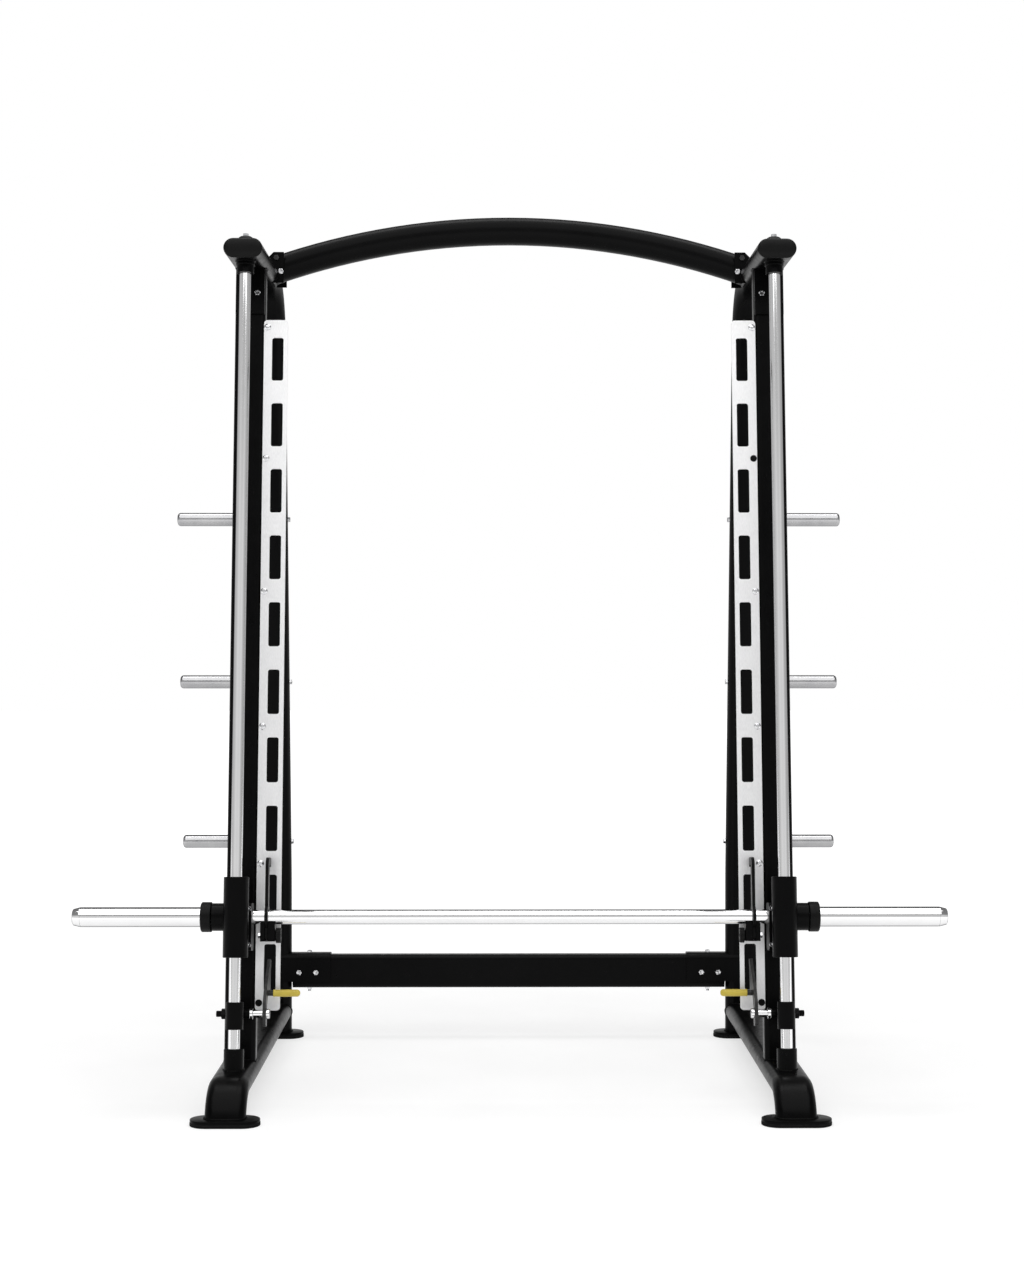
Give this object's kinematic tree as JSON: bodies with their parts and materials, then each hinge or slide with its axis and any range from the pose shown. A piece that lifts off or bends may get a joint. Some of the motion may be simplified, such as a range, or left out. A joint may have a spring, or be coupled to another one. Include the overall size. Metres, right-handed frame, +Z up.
{
  "type": "smith machine",
  "caption": "Free-standing smith machine: a bar turns and slides on leaning guide rods, hooks into slotted plates, and has safety catches and plate storage horns.",
  "frame": {"origin": "on the floor, midway between the four feet", "axes": "+X to the right across the machine, +Y from the user's side to the rear, +Z up"},
  "size_m": [2.21, 1.235, 2.333],
  "materials": {
    "powder_coat": "fine satin texture, black",
    "slot_plate_finish": "satin, light grey",
    "chrome": "polished",
    "satin_steel": "satin zinc on drawn tube",
    "zinc_steel": "bright zinc plated",
    "black_steel": "black oxide, semi gloss",
    "catch_steel": "dark grey coated plate",
    "bearing_steel": "ground",
    "black_plastic": "moulded, matte black",
    "black_rubber": "matte",
    "yellow_vinyl": "dipped vinyl, semi gloss"
  },
  "bodies": {
    "frame": {"left_rear_frame": "powder_coat", "right_rear_frame": "powder_coat", "left_base_tube": "powder_coat", "right_base_tube": "powder_coat", "top_end_caps": "black_plastic", "foot_plates": "powder_coat", "foot_pads": "black_rubber", "left_front_upright": "powder_coat", "right_front_upright": "powder_coat", "upright_brackets": "powder_coat", "upright_bolts": "zinc_steel", "left_slot_plate": "slot_plate_finish", "right_slot_plate": "slot_plate_finish", "slot_plate_rails": "powder_coat", "slot_plate_bolts": "zinc_steel", "slot_plate_black_bolts": "black_steel", "left_guide_rod": "chrome", "right_guide_rod": "chrome", "rod_foot_sockets": "powder_coat", "rod_head_sockets": "powder_coat", "rod_head_bolts": "zinc_steel", "left_storage_horns": "satin_steel", "right_storage_horns": "satin_steel", "horn_bolts": "zinc_steel", "arch_tube": "powder_coat", "arch_brackets": "powder_coat", "arch_bolts": "zinc_steel", "crossbeam": "powder_coat", "crossbeam_brackets": "powder_coat", "crossbeam_bolts": "zinc_steel"},
    "carriage": {"left_carriage_tube": "powder_coat", "right_carriage_tube": "powder_coat", "bar_housings": "powder_coat", "linear_bearings": "bearing_steel", "rod_wipers": "black_rubber", "bar_bearings": "bearing_steel", "stop_plates": "powder_coat", "stop_screws": "zinc_steel"},
    "bar": {"bar_shaft": "chrome", "left_sleeve": "chrome", "right_sleeve": "chrome", "plate_stops": "black_plastic", "sleeve_end_caps": "chrome", "left_hook_plate": "black_steel", "right_hook_plate": "black_steel", "hook_blocks": "powder_coat", "hook_bolts": "zinc_steel", "hook_knobs": "black_plastic"},
    "left_catch_slider": {"left_catch_collar": "powder_coat", "left_catch_liner": "black_plastic", "left_catch_spacer": "chrome", "left_catch_bolt": "black_steel"},
    "left_catch": {"left_catch_lever": "catch_steel", "left_catch_grip": "yellow_vinyl"},
    "right_catch_slider": {"right_catch_collar": "powder_coat", "right_catch_liner": "black_plastic", "right_catch_spacer": "chrome", "right_catch_bolt": "black_steel"},
    "right_catch": {"right_catch_lever": "catch_steel", "right_catch_grip": "yellow_vinyl"}
  },
  "joints": [
    {"name": "bar_slide", "type": "slide", "parent": "frame", "child": "carriage", "axis": [0, 0.1219, 0.9925], "range_m": [0, 1.54]},
    {"name": "bar_rotate", "type": "hinge", "parent": "carriage", "child": "bar", "pos_m": [0, -0.29988, 0.46366], "axis": [1, 0, 0], "range_deg": [0, 25]},
    {"name": "left_catch_slide", "type": "slide", "parent": "frame", "child": "left_catch_slider", "axis": [0, 0.1219, 0.9925], "range_m": [0, 0.01]},
    {"name": "left_catch_pivot", "type": "hinge", "parent": "left_catch_slider", "child": "left_catch", "pos_m": [0, -0.35097, 0.22813], "axis": [1, 0, 0], "range_deg": [0, 45]},
    {"name": "right_catch_slide", "type": "slide", "parent": "frame", "child": "right_catch_slider", "axis": [0, 0.1219, 0.9925], "range_m": [0, 0.01]},
    {"name": "right_catch_pivot", "type": "hinge", "parent": "right_catch_slider", "child": "right_catch", "pos_m": [0, -0.35097, 0.22813], "axis": [1, 0, 0], "range_deg": [0, 45]}
  ]
}
